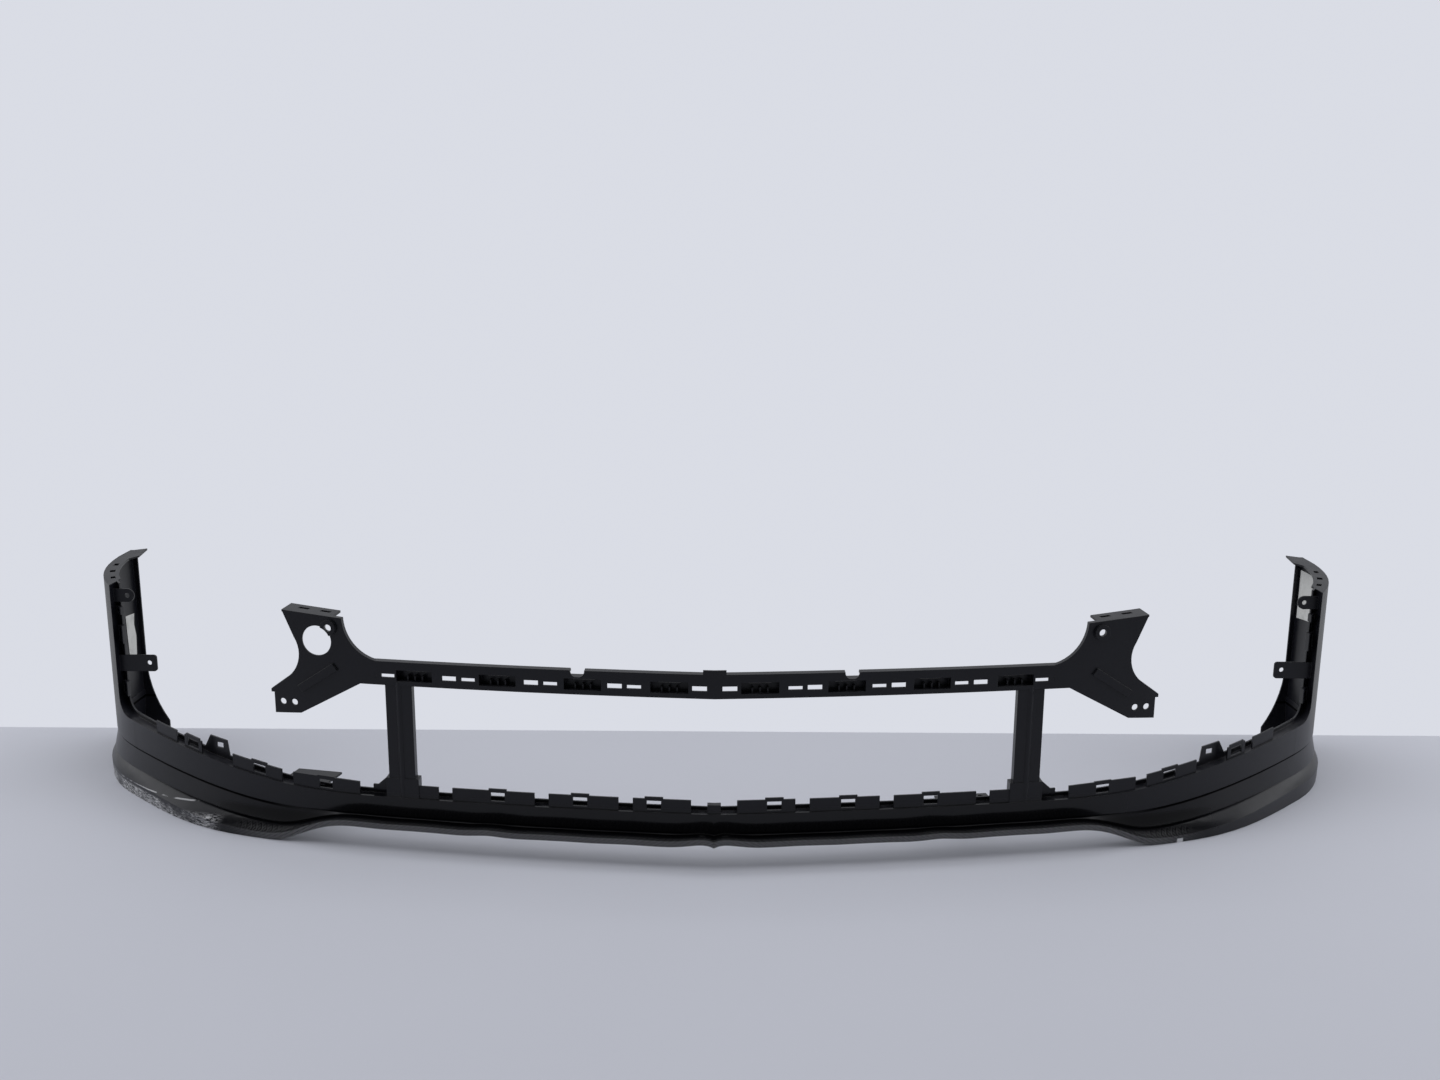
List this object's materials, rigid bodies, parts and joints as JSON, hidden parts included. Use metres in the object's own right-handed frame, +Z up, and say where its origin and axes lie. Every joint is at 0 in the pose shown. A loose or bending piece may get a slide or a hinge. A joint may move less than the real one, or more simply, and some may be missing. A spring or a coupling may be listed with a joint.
{
  "type": "front bumper spoiler",
  "caption": "Moulded front bumper spoiler with a stepped lip, clip ledge, corner uprights and a grille carrier on two posts, for the foot of a car's front bumper",
  "frame": {"origin": "middle of the footprint on the floor", "axes": "+X to the viewer's right along the width, +Y to the car's rear, +Z up"},
  "size_m": [1.7714, 0.453, 0.2886],
  "materials": {
    "black_plastic": "satin black, glossy on the channel",
    "label_paper": "matt white sticker"
  },
  "bodies": {
    "root": {"spoiler_body": "black_plastic", "label_left": "label_paper", "label_right": "label_paper"}
  },
  "joints": []
}
